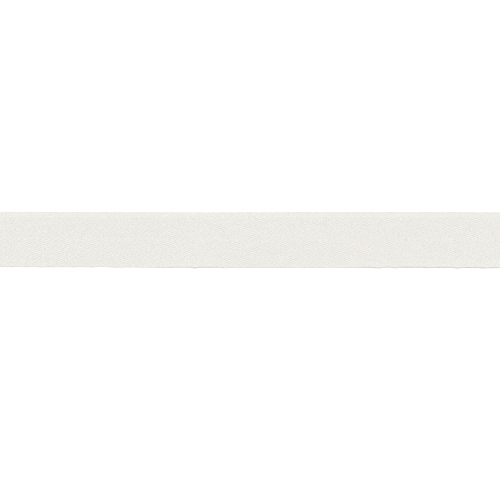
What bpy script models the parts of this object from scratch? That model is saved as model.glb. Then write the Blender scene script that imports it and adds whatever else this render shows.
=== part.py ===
"""A cut length of woven herringbone tape, lying flat, as one solid.

X runs along the tape, Y across it and Z up. The underside is flat at Z = 0. The upper face carries the twill
ribs of the weave: straight ridges that lean towards the tape's length and meet in a point along one reversal
line, with a smooth selvedge band outside them on either side.
"""

import math

import bmesh
import bpy

MM = 0.001

# The whole tape
TAPE_LENGTH = 240 * MM
TAPE_THICKNESS = 1.0 * MM

# Twill ribs: the pitch is measured along the tape, and the lean is the angle between a rib and the tape's length
RIB_PITCH = 2.645 * MM
RIB_LEAN = math.radians(19.5)
RIB_DEPTH = 0.16 * MM
REVERSAL_OFFSET = 0.12 * MM

# Selvedge bands: the ribs fade out over the last part of their length
UPPER_BAND = 2.1 * MM
LOWER_BAND = 1.1 * MM
RIB_FADE = 0.35 * MM
BAND_HEIGHT = 0.93 * MM

# The tape as it lies: its centreline wanders a little, and its width grows a little towards +X.
# Columns, in millimetres: place along the tape, centreline offset, width
OUTLINE_MM = (
    (-106.0, 0.20, 24.80),
    (-61.0, 0.04, 24.90),
    (-17.0, -0.16, 25.00),
    (28.0, 0.00, 25.10),
    (73.0, -0.06, 25.20),
    (106.0, -0.17, 25.15),
)

# Rounded section of a selvedge, from the underside round to the band.
# Columns, in millimetres: distance in from the tape's edge, height
SELVEDGE_MM = (
    (0.34, 0.00),
    (0.07, 0.22),
    (0.00, 0.50),
    (0.09, 0.75),
    (0.36, 0.91),
)

CLOTH_COLOUR = (0.84, 0.825, 0.785, 1.0)
CLOTH_ROUGHNESS = 0.85


def clear_scene():
    for obj in list(bpy.data.objects):
        bpy.data.objects.remove(obj, do_unlink=True)


def cloth_material():
    material = bpy.data.materials.new("ivory_cotton")
    material.use_nodes = True
    shader = material.node_tree.nodes["Principled BSDF"]
    shader.inputs["Base Color"].default_value = CLOTH_COLOUR
    shader.inputs["Roughness"].default_value = CLOTH_ROUGHNESS
    shader.inputs["Metallic"].default_value = 0.0
    return material


def outline_at(x):
    """Centreline offset and width of the tape at one place, eased between the rows of the outline."""
    place = x / MM
    if place <= OUTLINE_MM[0][0]:
        _, offset, width = OUTLINE_MM[0]
        return offset * MM, width * MM
    for (x0, offset0, width0), (x1, offset1, width1) in zip(OUTLINE_MM, OUTLINE_MM[1:]):
        if place <= x1:
            share = (place - x0) / (x1 - x0)
            share = share * share * (3 - 2 * share)
            offset = offset0 + share * (offset1 - offset0)
            width = width0 + share * (width1 - width0)
            return offset * MM, width * MM
    _, offset, width = OUTLINE_MM[-1]
    return offset * MM, width * MM


def section_rows():
    """The section's rows, counter-clockwise seen from +X, as (side, distance in from that edge, height, relief).

    Side is +1 for the upper edge, -1 for the lower edge and 0 for the reversal line. Relief is how much of the rib
    depth the row takes.
    """
    rows = []
    for inset, height in reversed(SELVEDGE_MM):
        rows.append((-1, inset * MM, height * MM, 0.0))
    for inset, height in SELVEDGE_MM:
        rows.append((1, inset * MM, height * MM, 0.0))
    rows.append((1, UPPER_BAND - RIB_FADE, BAND_HEIGHT, 0.0))
    rows.append((1, UPPER_BAND, TAPE_THICKNESS, 1.0))
    rows.append((0, 0.0, TAPE_THICKNESS, 1.0))
    rows.append((-1, LOWER_BAND, TAPE_THICKNESS, 1.0))
    rows.append((-1, LOWER_BAND - RIB_FADE, BAND_HEIGHT, 0.0))
    return rows


def rib_shift(side, inset, width):
    """How far a rib has run back along the tape, from the reversal line to a row of the section."""
    if side == 0:
        return 0.0
    band = UPPER_BAND if side > 0 else LOWER_BAND
    inset = max(inset, band)
    reach = width / 2 - inset - side * REVERSAL_OFFSET
    return reach / math.tan(RIB_LEAN)


def column_point(column, row):
    """Where one crest line or trough line of the ribs crosses one row of the section.

    Even columns are crests and odd ones are troughs. Each starts on the reversal line.
    """
    side, inset, height, relief = row
    start = -TAPE_LENGTH / 2 - RIB_PITCH + column * RIB_PITCH / 2
    _, width_at_start = outline_at(start)
    x = start - rib_shift(side, inset, width_at_start)
    offset, width = outline_at(x)
    if side == 0:
        y = offset + REVERSAL_OFFSET
    else:
        y = offset + side * (width / 2 - inset)
    depth = RIB_DEPTH if column % 2 else 0.0
    return x, y, height - relief * depth


def ribbed_skin(mesh):
    """The skin of a tape longer than the cut length, open at both ends."""
    rows = section_rows()
    _, middle_width = outline_at(0.0)
    longest_rib = max(rib_shift(side, 0.0, middle_width) for side in (1, -1))
    skin_length = TAPE_LENGTH + longest_rib + 3 * RIB_PITCH
    columns = math.ceil(skin_length / (RIB_PITCH / 2))
    rings = []
    for column in range(columns):
        rings.append([mesh.verts.new(column_point(column, row)) for row in rows])
    for ring, following in zip(rings, rings[1:]):
        for i in range(len(rows)):
            j = (i + 1) % len(rows)
            mesh.faces.new((ring[i], following[i], following[j], ring[j]))


def cut_end(mesh, side):
    """Cuts the tape square across at one end and closes the cut."""
    cut = bmesh.ops.bisect_plane(
        mesh,
        geom=mesh.verts[:] + mesh.edges[:] + mesh.faces[:],
        dist=1e-7,
        plane_co=(side * TAPE_LENGTH / 2, 0, 0),
        plane_no=(side, 0, 0),
        clear_outer=True,
    )
    rim = [item for item in cut["geom_cut"] if isinstance(item, bmesh.types.BMEdge)]
    bmesh.ops.holes_fill(mesh, edges=rim, sides=0)


def centre_across(mesh):
    """Moves the tape so that its overall width lies evenly about Y = 0."""
    lowest = min(vert.co.y for vert in mesh.verts)
    highest = max(vert.co.y for vert in mesh.verts)
    bmesh.ops.translate(mesh, verts=mesh.verts, vec=(0, -(lowest + highest) / 2, 0))


def make_tape():
    mesh = bmesh.new()
    ribbed_skin(mesh)
    for side in (-1, 1):
        cut_end(mesh, side)
    centre_across(mesh)
    bmesh.ops.recalc_face_normals(mesh, faces=mesh.faces)
    data = bpy.data.meshes.new("herringbone_tape")
    mesh.to_mesh(data)
    mesh.free()
    data.materials.append(cloth_material())
    tape = bpy.data.objects.new("herringbone_tape", data)
    bpy.context.scene.collection.objects.link(tape)
    return tape


clear_scene()
make_tape()
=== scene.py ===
import math

import bpy
import numpy as np
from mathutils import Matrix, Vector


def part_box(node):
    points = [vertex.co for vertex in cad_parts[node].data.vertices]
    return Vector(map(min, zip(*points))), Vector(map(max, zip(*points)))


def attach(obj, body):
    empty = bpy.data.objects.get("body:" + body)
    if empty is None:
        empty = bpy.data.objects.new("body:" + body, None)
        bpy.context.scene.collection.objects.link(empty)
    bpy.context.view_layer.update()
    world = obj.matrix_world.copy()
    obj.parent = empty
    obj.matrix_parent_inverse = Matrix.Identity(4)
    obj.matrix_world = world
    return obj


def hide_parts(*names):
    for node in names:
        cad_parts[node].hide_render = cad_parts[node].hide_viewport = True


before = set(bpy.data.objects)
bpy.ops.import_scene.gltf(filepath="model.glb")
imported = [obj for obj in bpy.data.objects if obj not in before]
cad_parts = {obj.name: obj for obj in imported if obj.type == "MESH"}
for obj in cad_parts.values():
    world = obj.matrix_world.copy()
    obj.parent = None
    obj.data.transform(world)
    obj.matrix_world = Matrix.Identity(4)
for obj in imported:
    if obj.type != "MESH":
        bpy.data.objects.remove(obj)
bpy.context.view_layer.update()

# A cut length of herringbone tape, lying flat, woven yarn by yarn in place of the CAD solid.
# X runs along the tape, Y across it from its lower edge to its upper edge, and Z up

MM = 0.001
NODE = "herringbone_tape"
BODY = "root"
BAKE_MAP = "OFBake"
TWIST_MAP = "twist"
SEED = 20

# Points this close in height to the CAD solid's widest row belong to it
ROW_TOLERANCE = 0.02 * MM

# The weave across the tape. Warp ends are numbered from 0 at the lower edge, where the weft's loops reach
# past them
NOMINAL_WIDTH = 25.0 * MM
LOOP_REACH = 0.24 * MM
WARP_ENDS = 106
END_PITCH = (NOMINAL_WIDTH - LOOP_REACH) / WARP_ENDS
REVERSAL_END = 53
LOWER_SELVEDGE_ENDS = 4
UPPER_SELVEDGE_ENDS = 9
ENDS_PER_PIECE = 16

# The weave along the tape: a twill repeat is four picks
TWILL_REPEAT = 2.645 * MM
PICK_PITCH = TWILL_REPEAT / 4

# Warp yarns. A float is widest in its middle, where both its neighbours dive
FLOAT_HALF_WIDTH = 0.250 * MM
DIVE_HALF_WIDTH = 0.135 * MM
PLAIN_HALF_WIDTH = 0.190 * MM
WARP_HALF_HEIGHT = 0.115 * MM
YARN_SIDES = 6

# How far they rise and dive from the cloth's middle, and how flat a float's top is
WARP_LIFT = 0.350 * MM
PLAIN_LIFT = 0.33 * MM
FLOAT_SQUARENESS = 2.4
CLEAR_OF_FLOOR = 0.015 * MM
CLOTH_MIDDLE = WARP_LIFT + WARP_HALF_HEIGHT + CLEAR_OF_FLOOR

# Floats lean along the twill line, less so within a few ends of the reversal line
WARP_SWAY = 0.045 * MM
SWAY_REACH_ENDS = 3

# Where the rows of a warp yarn lie in its repeat, in degrees from a float's middle: most are on its float
TWILL_ROWS = (-66, -33, 0, 33, 66, 125, 235)
PLAIN_ROWS = (-45, 0, 45, 140, 220)

# Warp ends stick out of the cut by up to this much, and their next row lies at least this far inside it
LONGEST_CUT = 0.25 * MM
CLEAR_OF_CUT = 0.10 * MM

# Rows are laid out in whole repeats, with spare ones past both cuts, and a few fewer are kept than fit
SPARE_REPEATS = 1
SPARE_ROWS = 2

# The weft sheet, two yarns to a pick: half its thickness on a yarn, between yarns and where the picks turn
WEFT_CREST = 0.235 * MM
WEFT_VALLEY = 0.205 * MM
WEFT_EDGE = 0.10 * MM
WEFT_ROUNDNESS = 0.6
WEFT_ROWS_PER_PICK = 6

# The sheet ends this far inside either edge of the weave, and has these columns, counted from its end
WEFT_INSET = 0.20 * MM
WEFT_COLUMNS = (0.0, 0.15 * MM, 0.30 * MM)

# The weft's turns at the upper edge, and its knitted loops at the lower one, which climb over each other
TURN_RADIUS = 0.145 * MM
LOOP_RADIUS = 0.125 * MM
LOOP_CLIMB = 0.13 * MM
TURN_SIDES = 5

# Their plans. Columns: picks along from the middle of one pick, and millimetres in from the edge
UPPER_TURN = (
    (0.25, 0.62), (0.25, 0.30), (0.30, 0.17), (0.40, 0.10), (0.50, 0.08),
    (0.60, 0.10), (0.70, 0.17), (0.75, 0.30), (0.75, 0.62),
)
LOWER_LOOP = (
    (-0.20, 0.72), (-0.22, 0.50), (0.05, 0.30), (0.50, 0.24), (0.95, 0.26),
    (1.25, 0.38), (1.05, 0.52), (0.60, 0.44), (0.15, 0.44), (0.20, 0.72),
)
# The loops' roots lie this far in, and nothing strays there
DEEPEST_INSET_MM = 0.72

# How uneven the warp yarns are, and how far in and out the turns and loops stray
UNEVEN_PLACE = 0.010 * MM
UNEVEN_HEIGHT = 0.008 * MM
UNEVEN_THICKNESS = 0.04
UNEVEN_TURNS = 0.01 * MM
UNEVEN_LOOPS = 0.20 * MM

# Unevenness is a sum of waves, and each turn adds a share of its own
WAVES = 4
LONGEST_YARN_WAVE = 30 * MM
LONGEST_TURN_WAVE = 35 * MM
SHORTEST_WAVE_SHARE = 0.15
SINGLE_TURN_SHARE = 0.9

# The lower edge is drawn tight in places, which pulls it in, and it lifts off the table round them.
# Columns: where a stretch starts and ends, in millimetres along the tape, and its share of the pull or lift
TIGHT_STRETCHES = (
    (-79.0, -61.0, 0.40), (-58.0, -46.0, 0.20), (-36.0, -24.5, 1.00), (-24.5, -12.5, 1.00),
    (-11.0, -6.0, 0.40), (-4.0, 1.0, 0.30), (47.5, 55.5, 0.75), (58.0, 64.5, 1.00),
    (65.0, 79.5, 1.00), (79.5, 92.5, 0.80), (93.0, 105.0, 0.70), (104.0, 124.0, 0.45),
)
LIFTED_STRETCHES = ((-112.0, -84.0, 0.20), (-46.0, -5.0, 0.90), (40.0, 134.0, 0.85))
# A stretch comes and goes over so many millimetres
TIGHT_EASE_MM = 2.0
LIFTED_EASE_MM = 14.0
# The full pull and lift, and how far in from the edge they reach
EDGE_PULL = 0.36 * MM
EDGE_LIFT = 0.8 * MM
EDGE_REACH = 4.0 * MM

# Shares of a bake map's cell: a strip's length and height, and a cap's reach on either side of its middle
STRIP_SPAN = 0.94
STRIP_HEIGHT = 0.84
CAP_SPAN = 0.011

# How many cells a warp yarn and the weft take, and how many columns the turns' cells stand in
WARP_FOLDS = 3
WEFT_FOLDS = 6
TURN_COLUMNS = 16

# Yarns start at a random place of their twist, within this many millimetres of it
TWIST_START_MM = 50

# Cotton drifts between these two colours along a yarn. The weft is painted a little deeper, as painted
# shade for lying down in the cloth between the warp floats; the warp and the turns get no painted shade
IVORY_PALE = (0.8355, 0.8225, 0.7925, 1.0)
IVORY_DEEP = (0.8105, 0.7935, 0.7565, 1.0)
NO_PAINTED_SHADE = (1.0, 1.0, 1.0, 1.0)
WEFT_PAINTED_SHADE = (0.965, 0.968, 0.975, 1.0)

# Two-ply cotton: one turn of the plies, the shape of a ply's back, and fibre relief against ply relief
PLY_TURN_MM = 1.25
PLY_ROUNDNESS = 0.6
FIBRE_SHARE = 1.2
RELIEF = 0.035 * MM
RELIEF_STRENGTH = 0.9

# Noise scales along X, Y and Z, per metre. The noise is finer across a yarn than along it
DRIFT_SCALE = (120.0, 120.0, 900.0)
FIBRE_SCALE = (3000.0, 3000.0, 20000.0)
FINER_ACROSS = 8
NOISE_DETAIL = 2.0

# The finish of the cotton, whose roughness follows its fibres
SMOOTHEST = 0.74
ROUGHEST = 0.92
DIFFUSE_ROUGHNESS = 0.2
SHEEN = 0.15
SHEEN_ROUGHNESS = 0.5
SPECULAR = 0.3

# Light: a pale sky all round and a broad lamp above, a little towards the upper edge
SKY_COLOUR = (1.0, 1.0, 1.0, 1.0)
SKY_STRENGTH = 0.352
LAMP_STRENGTH = 2.57
LAMP_TILT = math.radians(10)
LAMP_SPREAD = math.radians(20)
FLOOR_COLOUR = (0.95, 0.95, 0.95, 1.0)
FLOOR_REACH = 2.0

# The camera looks straight down, from a little towards the lower edge
SENSOR_WIDTH_MM = 36.0
CAMERA_HEIGHT = 1.2
CAMERA_OFFSET = -4.46 * MM
SHOWN_WIDTH = 223.4 * MM
FARTHEST_SEEN = 20.0


def tape_edges():
    """The lower and the upper edge, each as places along and across, from the CAD solid's widest row."""
    points = np.array([v.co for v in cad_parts[NODE].data.vertices])
    widest = np.abs(points[:, 2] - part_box(NODE)[1].z / 2) < ROW_TOLERANCE
    edges = []
    for side in (-1, 1):
        line = points[widest & (side * points[:, 1] > 0)]
        order = np.argsort(line[:, 0])
        edges.append((line[order, 0], line[order, 1]))
    return edges


# Where the CAD solid has the tape's edges and its two cuts
EDGES = tape_edges()
START = float(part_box(NODE)[0].x)
END = float(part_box(NODE)[1].x)
PICKS = int((END - START) / PICK_PITCH)
random = np.random.default_rng(SEED)


def stretched(x, stretches, ease):
    """A line that stands at each stretch's share inside it and eases to nothing at its ends."""
    place = x / MM
    total = np.zeros_like(place)
    for start, end, share in stretches:
        inside = np.clip(np.minimum(place - start, end - place) / ease, 0, 1)
        total += share * inside ** 2 * (3 - 2 * inside)
    return total


def laid(x, inset, height):
    """Points of the tape as it lies.

    The arguments say how far they are along it, in from its lower edge and up from its middle.
    """
    near_edge = np.clip(1 - inset / EDGE_REACH, 0, 1)
    inset = inset + EDGE_PULL * near_edge * stretched(x, TIGHT_STRETCHES, TIGHT_EASE_MM)
    height = height + EDGE_LIFT * near_edge * stretched(x, LIFTED_STRETCHES, LIFTED_EASE_MM)
    lower = np.interp(x, *EDGES[0])
    upper = np.interp(x, *EDGES[1])
    return np.stack([x, lower + inset * (upper - lower) / NOMINAL_WIDTH, CLOTH_MIDDLE + height], -1)


def wander(x, longest_wave):
    """A smooth uneven line, mostly between -1 and 1."""
    total = np.zeros(len(x))
    for _ in range(WAVES):
        wave = longest_wave * random.uniform(SHORTEST_WAVE_SHARE, 1.0)
        total += np.sin(2 * math.pi * (x / wave + random.random()))
    return total / math.sqrt(2 * WAVES)


def unit(vectors):
    return vectors / np.linalg.norm(vectors, axis=-1, keepdims=True)


def yarn_rings(paths, half_width, half_height, sides):
    """Rings of points round each yarn's path.

    Paths are (yarns, rows, 3), and halves are (yarns, rows) or one number for all.
    """
    along = unit(np.gradient(paths, axis=1))
    sideways = unit(np.cross([0.0, 0.0, 1.0], along))
    upwards = np.cross(along, sideways)
    turn = 2 * math.pi * np.arange(sides) / sides
    wide = np.broadcast_to(half_width, paths.shape[:2])[..., None, None] * np.cos(turn)[:, None]
    high = np.broadcast_to(half_height, paths.shape[:2])[..., None, None] * np.sin(turn)[:, None]
    return paths[:, :, None] + wide * sideways[:, :, None] + high * upwards[:, :, None]


def tube_faces(tubes, rows, sides):
    """Quads along closed tubes, tube by tube, then a cap for each end of each tube."""
    tube = np.arange(tubes)[:, None, None]
    row = np.arange(rows - 1)[:, None]
    side = np.arange(sides)
    ring = (tube * rows + row) * sides
    following = (side + 1) % sides
    corners = (ring + side, ring + following, ring + sides + following, ring + sides + side)
    faces = np.stack(corners, -1).reshape(-1, 4).tolist()
    for number in range(tubes):
        first = number * rows * sides
        last = first + (rows - 1) * sides
        faces.append(list(range(first + sides - 1, first - 1, -1)))
        faces.append(list(range(last, last + sides)))
    return faces


def on_quads(start, finish, low, high):
    """Map corners of the quads, from values at both ends of each row and on both sides of each side."""
    start, finish, low, high = np.broadcast_arrays(start, finish, low, high)
    u = np.stack([start, start, finish, finish], -1)
    v = np.stack([low, high, high, low], -1)
    return np.stack([u, v], -1).reshape(-1, 2)


def strip_map(rings, folds, columns):
    """A bake map in columns of cells. Each tube fills so many cells, its folds, with one strip in each.

    A tube's caps lie in the margins of its first and last cells.
    """
    tubes, rows, sides = rings.shape[:3]
    lengths = np.linalg.norm(np.roll(rings, -1, axis=2) - rings, axis=-1).mean((0, 1))
    places = np.concatenate([[0], np.cumsum(lengths) / lengths.sum()])
    rows_per_fold = math.ceil((rows - 1) / folds)
    lines = math.ceil(tubes * folds / columns)
    margin_u = (1 - STRIP_SPAN) / 2
    margin_v = (1 - STRIP_HEIGHT) / 2
    row = np.arange(rows - 1)[:, None]
    cell = np.arange(tubes)[:, None, None] * folds + row // rows_per_fold

    def u(share):
        return (cell % columns + margin_u + STRIP_SPAN * share) / columns

    def v(share):
        return (cell // columns + margin_v + STRIP_HEIGHT * share) / lines

    step = row % rows_per_fold
    strips = on_quads(u(step / rows_per_fold), u((step + 1) / rows_per_fold), v(places[:-1]), v(places[1:]))

    turn = 2 * math.pi * np.arange(sides) / sides
    caps = []
    for tube in range(tubes):
        first = tube * folds
        last = first + folds - 1
        for cap_cell, middle in ((first, margin_u / 2), (last, 1 - margin_u / 2)):
            cap_u = (cap_cell % columns + middle + CAP_SPAN * np.cos(turn)) / columns
            cap_v = (cap_cell // columns + 0.5 + STRIP_HEIGHT / 2 * np.sin(turn)) / lines
            caps.append(np.stack([cap_u, cap_v], -1))
    return np.concatenate([strips, *caps])


def twist_map(rings):
    """A map of the millimetres along each tube and the turn round it, with nothing on the caps."""
    tubes, rows, sides = rings.shape[:3]
    steps = np.linalg.norm(np.diff(rings.mean(2), axis=1), axis=-1) / MM
    distance = np.concatenate([np.zeros((tubes, 1)), np.cumsum(steps, axis=1)], axis=1)
    distance = (distance + random.uniform(0, TWIST_START_MM, (tubes, 1)))[:, :, None]
    side = np.arange(sides)
    quads = on_quads(distance[:, :-1], distance[:, 1:], side / sides, (side + 1) / sides)
    return np.concatenate([quads, np.zeros((2 * tubes * sides, 2))])


def tube_mesh(name, rings, folds=1, columns=1):
    """One mesh of closed tubes from rings of points, (tubes, rows, sides, 3)."""
    tubes, rows, sides = rings.shape[:3]
    mesh = bpy.data.meshes.new(name)
    mesh.from_pydata(rings.reshape(-1, 3), [], tube_faces(tubes, rows, sides))
    maps = {BAKE_MAP: strip_map(rings, folds, columns), TWIST_MAP: twist_map(rings)}
    for map_name, places in maps.items():
        mesh.uv_layers.new(name=map_name).data.foreach_set("uv", places.ravel())
    mesh.shade_smooth()
    return mesh


def add_piece(mesh, material):
    piece = bpy.data.objects.new(mesh.name, mesh)
    bpy.context.scene.collection.objects.link(piece)
    mesh.materials.append(material)
    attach(piece, BODY)
    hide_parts(NODE)
    return piece


def rows_along(float_middle, repeat, row_places):
    """Places along the tape for the rows of one warp end, with both its cuts a little long.

    Ends of the same weave all get as many rows, wherever their floats lie.
    """
    length = (END - START) / repeat
    first = math.floor((START - float_middle) / repeat) - SPARE_REPEATS
    number = first + np.arange(math.ceil(length) + 1 + 2 * SPARE_REPEATS)[:, None]
    rows = (float_middle + (number + np.array(row_places) / 360) * repeat).ravel()
    count = math.floor(length * len(row_places)) - SPARE_ROWS
    inner = rows[rows > START + CLEAR_OF_CUT][:count]
    cut_start = START - random.uniform(0, LONGEST_CUT)
    cut_end = END + random.uniform(0, LONGEST_CUT)
    return np.concatenate([[cut_start], inner, [cut_end]])


def warp_yarn(end, x, lift, sway, half_width):
    """Path and halves of a warp end, a little uneven along its length."""
    thickness = 1 + UNEVEN_THICKNESS * wander(x, LONGEST_YARN_WAVE)
    inset = LOOP_REACH + (end + 0.5) * END_PITCH + sway + UNEVEN_PLACE * wander(x, LONGEST_YARN_WAVE)
    path = laid(x, inset, lift + UNEVEN_HEIGHT * wander(x, LONGEST_YARN_WAVE))
    return path, half_width * thickness, WARP_HALF_HEIGHT * thickness


def twill_end(end):
    """A warp end that goes over two picks and under two."""
    from_reversal = end - REVERSAL_END
    float_middle = START - abs(from_reversal) * PICK_PITCH
    x = rows_along(float_middle, TWILL_REPEAT, TWILL_ROWS)
    phase = 2 * math.pi * (x - float_middle) / TWILL_REPEAT
    lift = WARP_LIFT * np.tanh(FLOAT_SQUARENESS * np.cos(phase)) / math.tanh(FLOAT_SQUARENESS)
    sway = WARP_SWAY * np.clip(from_reversal / SWAY_REACH_ENDS, -1, 1) * np.sin(2 * phase)
    half_width = DIVE_HALF_WIDTH + (FLOAT_HALF_WIDTH - DIVE_HALF_WIDTH) * np.abs(np.cos(phase))
    return warp_yarn(end, x, lift, sway, half_width)


def plain_end(end):
    """A selvedge end that goes over one pick and under the next."""
    float_middle = START + (end % 2 + 0.5) * PICK_PITCH
    x = rows_along(float_middle, 2 * PICK_PITCH, PLAIN_ROWS)
    lift = PLAIN_LIFT * np.cos(math.pi * (x - float_middle) / PICK_PITCH)
    return warp_yarn(end, x, lift, 0.0, np.full(len(x), PLAIN_HALF_WIDTH))


def warp_piece(name, make_end, ends, material):
    yarns = [make_end(end) for end in ends]
    paths, half_widths, half_heights = (np.array(values) for values in zip(*yarns))
    rings = yarn_rings(paths, half_widths, half_heights, YARN_SIDES)
    return add_piece(tube_mesh(name, rings, folds=WARP_FOLDS), material)


def warp_pieces(material):
    first = LOWER_SELVEDGE_ENDS
    last = WARP_ENDS - UPPER_SELVEDGE_ENDS
    pieces = [warp_piece("lower_selvedge_warp", plain_end, range(first), material)]
    for number, start in enumerate(range(first, last, ENDS_PER_PIECE)):
        ends = range(start, min(start + ENDS_PER_PIECE, last))
        pieces.append(warp_piece(f"twill_warp_{number + 1}", twill_end, ends, material))
    pieces.append(warp_piece("upper_selvedge_warp", plain_end, range(last, WARP_ENDS), material))
    return pieces


def weft_sheet(material):
    """The picks side by side, two yarns to each, as one closed corrugated sheet."""
    x = np.linspace(START, END, WEFT_ROWS_PER_PICK * PICKS + 1)
    yarn = np.abs(np.sin(2 * math.pi * (x - START) / PICK_PITCH)) ** WEFT_ROUNDNESS
    half = WEFT_VALLEY + (WEFT_CREST - WEFT_VALLEY) * yarn
    thin = half * WEFT_EDGE / WEFT_CREST
    lowest = LOOP_REACH + WEFT_INSET
    highest = NOMINAL_WIDTH - WEFT_INSET
    columns = [(lowest + inset, half if inset else thin) for inset in WEFT_COLUMNS]
    # The lower edge's pull and lift end at this column
    columns.append((EDGE_REACH, half))
    columns += [(highest - inset, half if inset else thin) for inset in reversed(WEFT_COLUMNS)]
    underside = [laid(x, inset, -reach) for inset, reach in columns]
    upper_face = [laid(x, inset, reach) for inset, reach in reversed(columns)]
    rings = np.stack(underside + upper_face, axis=1)[None]
    return add_piece(tube_mesh("weft", rings, folds=WEFT_FOLDS), material)


def weft_turns(name, plan, radius, uneven, material, from_upper=False, climb=0.0):
    """The weft's turns round one selvedge, one to a pick, which stray most where they reach out most."""
    along, inset = np.array(plan).T
    first = START + (np.arange(PICKS - 1) + 0.5) * PICK_PITCH
    stray = wander(first, LONGEST_TURN_WAVE) + SINGLE_TURN_SHARE * random.uniform(-1, 1, len(first))
    x = first[:, None] + along * PICK_PITCH
    inset = inset * MM + uneven * stray[:, None] * (1 - inset / DEEPEST_INSET_MM)
    height = climb * np.cos(np.linspace(0, math.pi, len(plan)))
    path = laid(x, NOMINAL_WIDTH - inset if from_upper else inset, height)
    rings = yarn_rings(path, radius, radius, TURN_SIDES)
    return add_piece(tube_mesh(name, rings, columns=TURN_COLUMNS), material)


class Nodes:
    """A short way to add and join a material's nodes."""

    def __init__(self, name):
        self.material = bpy.data.materials.new(name)
        self.material.use_nodes = True
        self.tree = self.material.node_tree
        self.shader = self.tree.nodes["Principled BSDF"]

    def add(self, kind, inputs=None, **settings):
        node = self.tree.nodes.new(kind)
        for key, value in settings.items():
            setattr(node, key, value)
        for key, value in (inputs or {}).items():
            self.give(node.inputs[key], value)
        return node

    def give(self, socket, value):
        if isinstance(value, bpy.types.NodeSocket):
            self.tree.links.new(value, socket)
        else:
            socket.default_value = value

    def math(self, operation, *values):
        node = self.add("ShaderNodeMath", operation=operation)
        for socket, value in zip(node.inputs, values):
            self.give(socket, value)
        return node.outputs[0]

    def mix(self, share, a, b):
        node = self.add("ShaderNodeMix", data_type="RGBA")
        for name, value in (("Factor", share), ("A", a), ("B", b)):
            self.give(next(s for s in node.inputs if s.name == name and s.enabled), value)
        return next(s for s in node.outputs if s.enabled)

    def noise(self, place, scale):
        scaled = self.add("ShaderNodeMapping", {"Vector": place, "Scale": scale}).outputs[0]
        noise = self.add("ShaderNodeTexNoise", {"Vector": scaled, "Scale": 1.0, "Detail": NOISE_DETAIL})
        return noise.outputs["Fac"]


def cotton(name, lengthwise, painted_shade):
    """Two-ply cotton: twisted plies, fine fibres and a slow drift of colour.

    Lengthwise yarns read their twist map, and the weft's yarns lie across the tape.
    """
    nodes = Nodes(name)
    place = nodes.add("ShaderNodeTexCoord").outputs["Object"]
    if lengthwise:
        twist = nodes.add("ShaderNodeUVMap", uv_map=TWIST_MAP).outputs["UV"]
        parts = nodes.add("ShaderNodeSeparateXYZ", {"Vector": twist}).outputs
        helix = nodes.math("ADD", nodes.math("DIVIDE", parts["X"], PLY_TURN_MM), parts["Y"])
    else:
        xyz = nodes.add("ShaderNodeSeparateXYZ", {"Vector": place}).outputs
        along = nodes.math("DIVIDE", xyz["Y"], PLY_TURN_MM * MM)
        helix = nodes.math("ADD", along, nodes.math("DIVIDE", xyz["X"], PICK_PITCH))
    ply = nodes.math("ABSOLUTE", nodes.math("SINE", nodes.math("MULTIPLY", helix, 2 * math.pi)))
    ply = nodes.math("POWER", ply, PLY_ROUNDNESS)
    finer = (1, FINER_ACROSS, 1) if lengthwise else (FINER_ACROSS, 1, 1)
    drift = nodes.noise(place, np.multiply(DRIFT_SCALE, finer))
    fibres = nodes.noise(place, np.multiply(FIBRE_SCALE, finer))

    # Both colours are scaled by the painted shade: for the weft it darkens the grooves between the floats
    ivory = nodes.mix(drift, np.multiply(IVORY_PALE, painted_shade), np.multiply(IVORY_DEEP, painted_shade))
    nodes.give(nodes.shader.inputs["Base Color"], ivory)
    rough = nodes.add("ShaderNodeMapRange", {"Value": fibres, "To Min": SMOOTHEST, "To Max": ROUGHEST})
    nodes.give(nodes.shader.inputs["Roughness"], rough.outputs[0])

    relief = nodes.math("ADD", ply, nodes.math("MULTIPLY", fibres, FIBRE_SHARE))
    bump = nodes.add("ShaderNodeBump", {"Height": relief, "Strength": RELIEF_STRENGTH, "Distance": RELIEF})
    nodes.give(nodes.shader.inputs["Normal"], bump.outputs["Normal"])
    nodes.shader.inputs["Diffuse Roughness"].default_value = DIFFUSE_ROUGHNESS
    nodes.shader.inputs["Sheen Weight"].default_value = SHEEN
    nodes.shader.inputs["Sheen Roughness"].default_value = SHEEN_ROUGHNESS
    nodes.shader.inputs["Specular IOR Level"].default_value = SPECULAR
    return nodes.material


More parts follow.
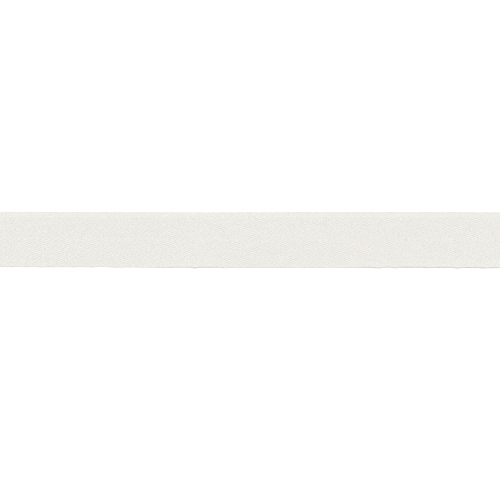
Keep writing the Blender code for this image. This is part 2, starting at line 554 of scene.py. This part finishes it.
def floor():
    nodes = Nodes("floor")
    nodes.shader.inputs["Base Color"].default_value = FLOOR_COLOUR
    nodes.shader.inputs["Roughness"].default_value = 1.0
    nodes.shader.inputs["Specular IOR Level"].default_value = 0.0
    mesh = bpy.data.meshes.new("floor")
    corners = [(x * FLOOR_REACH, y * FLOOR_REACH, 0.0) for x, y in ((-1, -1), (1, -1), (1, 1), (-1, 1))]
    mesh.from_pydata(corners, [], [(0, 1, 2, 3)])
    mesh.materials.append(nodes.material)
    plane = bpy.data.objects.new("floor", mesh)
    bpy.context.scene.collection.objects.link(plane)


def light():
    world = bpy.data.worlds.new("studio")
    bpy.context.scene.world = world
    world.use_nodes = True
    sky = world.node_tree.nodes["Background"]
    sky.inputs["Color"].default_value = SKY_COLOUR
    sky.inputs["Strength"].default_value = SKY_STRENGTH
    world.cycles.sampling_method = "NONE"
    lamp = bpy.data.lights.new("softbox", "SUN")
    lamp.energy = LAMP_STRENGTH
    lamp.angle = LAMP_SPREAD
    softbox = bpy.data.objects.new("softbox", lamp)
    softbox.rotation_euler = (-LAMP_TILT, 0, 0)
    bpy.context.scene.collection.objects.link(softbox)
    bpy.context.scene.view_settings.view_transform = "Standard"


def camera():
    data = bpy.data.cameras.new("camera")
    data.sensor_width = SENSOR_WIDTH_MM
    data.lens = SENSOR_WIDTH_MM * CAMERA_HEIGHT / SHOWN_WIDTH
    data.clip_end = FARTHEST_SEEN
    eye = bpy.data.objects.new("camera", data)
    eye.location = (0, CAMERA_OFFSET, CAMERA_HEIGHT)
    bpy.context.scene.collection.objects.link(eye)
    bpy.context.scene.camera = eye


camera()
warp_cotton = cotton("warp_cotton", lengthwise=True, painted_shade=NO_PAINTED_SHADE)
weft_cotton = cotton("weft_cotton", lengthwise=False, painted_shade=WEFT_PAINTED_SHADE)
turn_cotton = cotton("turn_cotton", lengthwise=True, painted_shade=NO_PAINTED_SHADE)
warps = warp_pieces(warp_cotton)
weft = weft_sheet(weft_cotton)
turns = [
    weft_turns("upper_turns", UPPER_TURN, TURN_RADIUS, UNEVEN_TURNS, turn_cotton, from_upper=True),
    weft_turns("lower_loops", LOWER_LOOP, LOOP_RADIUS, UNEVEN_LOOPS, turn_cotton, climb=LOOP_CLIMB),
]
floor()
light()
